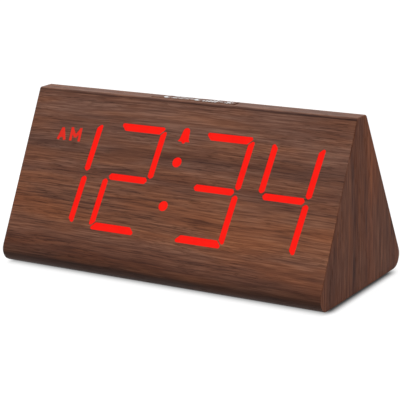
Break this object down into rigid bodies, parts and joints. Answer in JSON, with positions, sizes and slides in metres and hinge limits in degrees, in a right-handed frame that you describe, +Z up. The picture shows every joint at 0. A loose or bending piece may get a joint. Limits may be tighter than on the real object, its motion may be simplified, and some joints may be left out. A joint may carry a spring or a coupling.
{
  "type": "wooden digital alarm clock",
  "caption": "Wedge-shaped wood-faced alarm clock with red digits shining through its leaning front, a snooze bar in the top and controls on the back.",
  "frame": {"origin": "middle of the clock's footprint, on the surface that its feet stand on", "axes": "+X to the right seen from the display side, +Y towards the control side, +Z up"},
  "size_m": [0.2, 0.0944, 0.0944],
  "materials": {
    "walnut_veneer": "satin walnut veneer, grain along the clock, a little mottled",
    "walnut_end": "satin walnut veneer, grain upright, darker and redder than the front",
    "lit_red": "red light shining through the veneer",
    "snooze_plastic": "brown satin matched to the veneer, with silver marks",
    "black_plastic": "fine-grained moulded",
    "grey_plastic": "satin moulded",
    "white_plastic": "satin moulded",
    "milky_film": "milky diffusing film",
    "circuit_board": "green solder mask with tracks",
    "chip_black": "moulded black",
    "steel": "plated",
    "foot_rubber": "matt",
    "paper_cone": "pressed paper",
    "lead_grey": "flexible insulation"
  },
  "bodies": {
    "case": {"case_wrap": "walnut_veneer", "left_end_panel": "walnut_end", "right_end_panel": "walnut_end", "foot_front_left": "foot_rubber", "foot_front_right": "foot_rubber", "foot_rear_left": "foot_rubber", "foot_rear_right": "foot_rubber", "digit_1": "lit_red", "digit_2": "lit_red", "digit_3": "lit_red", "digit_4": "lit_red", "colon": "lit_red", "am_mark": "lit_red", "bell_mark": "lit_red", "diffuser_film": "milky_film", "segment_reflector": "white_plastic", "display_board": "circuit_board", "display_driver_chip": "chip_black", "display_screw_left": "steel", "display_screw_right": "steel", "snooze_housing": "black_plastic", "snooze_switch": "chip_black", "snooze_board": "circuit_board", "snooze_lead": "lead_grey", "rear_panel": "black_plastic", "rear_panel_screw_1": "steel", "rear_panel_screw_2": "steel", "rear_panel_screw_3": "steel", "rear_panel_screw_4": "steel", "control_board": "circuit_board", "clock_chip": "chip_black", "crystal": "steel", "set_tact_switch": "chip_black", "alarm_tact_switch": "chip_black", "up_tact_switch": "chip_black", "down_tact_switch": "chip_black", "alarm_switch": "chip_black", "hour_format_switch": "chip_black", "dimmer_switch": "chip_black", "dc_jack": "chip_black", "dc_jack_pin": "steel", "usb_port": "steel", "usb_tongue": "white_plastic", "coin_holder": "chip_black", "coin_cell": "steel", "speaker_frame": "chip_black", "speaker_cone": "paper_cone", "speaker_lead": "lead_grey", "display_ribbon": "lead_grey"},
    "snooze_bar": {"snooze_button": "snooze_plastic", "snooze_switch_plunger": "grey_plastic"},
    "set_key": {"set_button": "grey_plastic"},
    "alarm_key": {"alarm_button": "grey_plastic"},
    "up_key": {"up_button": "grey_plastic"},
    "down_key": {"down_button": "grey_plastic"},
    "alarm_slide": {"alarm_slider": "grey_plastic"},
    "hour_format_slide": {"hour_format_slider": "grey_plastic"},
    "dimmer_slide": {"dimmer_slider": "grey_plastic"},
    "cell_cap": {"battery_cap": "black_plastic"}
  },
  "joints": [
    {"name": "snooze_press", "type": "slide", "parent": "case", "child": "snooze_bar", "axis": [0, 0, -1], "range_m": [0, 0.0008], "stiffness_N_per_m": 1500},
    {"name": "set_press", "type": "slide", "parent": "case", "child": "set_key", "axis": [0, -0.894, -0.448], "range_m": [0, 0.0005], "stiffness_N_per_m": 1500},
    {"name": "alarm_press", "type": "slide", "parent": "case", "child": "alarm_key", "axis": [0, -0.894, -0.448], "range_m": [0, 0.0005], "stiffness_N_per_m": 1500},
    {"name": "up_press", "type": "slide", "parent": "case", "child": "up_key", "axis": [0, -0.894, -0.448], "range_m": [0, 0.0005], "stiffness_N_per_m": 1500},
    {"name": "down_press", "type": "slide", "parent": "case", "child": "down_key", "axis": [0, -0.894, -0.448], "range_m": [0, 0.0005], "stiffness_N_per_m": 1500},
    {"name": "alarm_switching", "type": "slide", "parent": "case", "child": "alarm_slide", "axis": [-1, 0, 0], "range_m": [0, 0.003]},
    {"name": "hour_format_switching", "type": "slide", "parent": "case", "child": "hour_format_slide", "axis": [-1, 0, 0], "range_m": [0, 0.003]},
    {"name": "dimming", "type": "slide", "parent": "case", "child": "dimmer_slide", "axis": [-1, 0, 0], "range_m": [0, 0.01]},
    {"name": "cap_turn", "type": "hinge", "parent": "case", "child": "cell_cap", "pos_m": [-0.06, 0.03139, 0.04213], "axis": [0, 0.894, 0.448], "range_deg": [0, 60]}
  ]
}
